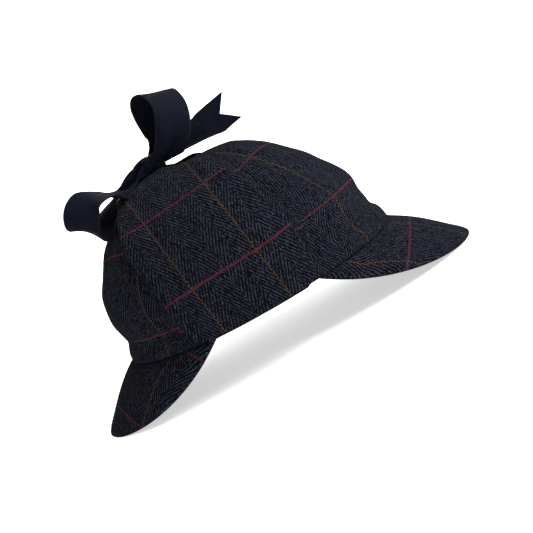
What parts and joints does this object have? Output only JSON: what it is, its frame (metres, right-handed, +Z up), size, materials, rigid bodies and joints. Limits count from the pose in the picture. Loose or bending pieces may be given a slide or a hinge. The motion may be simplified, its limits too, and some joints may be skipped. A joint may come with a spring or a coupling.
{
  "type": "deerstalker hat",
  "caption": "Tweed deerstalker hat with peaks before and behind and ear flaps turned up and tied over the crown in a ribbon bow.",
  "frame": {"origin": "on the surface that the hat stands on, midway between the tips of the two peaks, on the hat's centre plane", "axes": "+X towards the front peak as worn, +Y to the wearer's left, +Z up out of the surface that the peaks rest on"},
  "size_m": [0.2944, 0.172, 0.2026],
  "materials": {
    "tweed": "matte",
    "ribbon": "satin"
  },
  "bodies": {
    "root": {"crown": "tweed", "front_peak": "tweed", "back_peak": "tweed", "ear_flap_right": "tweed", "ear_flap_left": "tweed", "bow_knot": "ribbon", "bow_loop_front": "ribbon", "bow_loop_rear": "ribbon", "bow_tail_front": "ribbon", "bow_tail_far": "ribbon"}
  },
  "joints": []
}
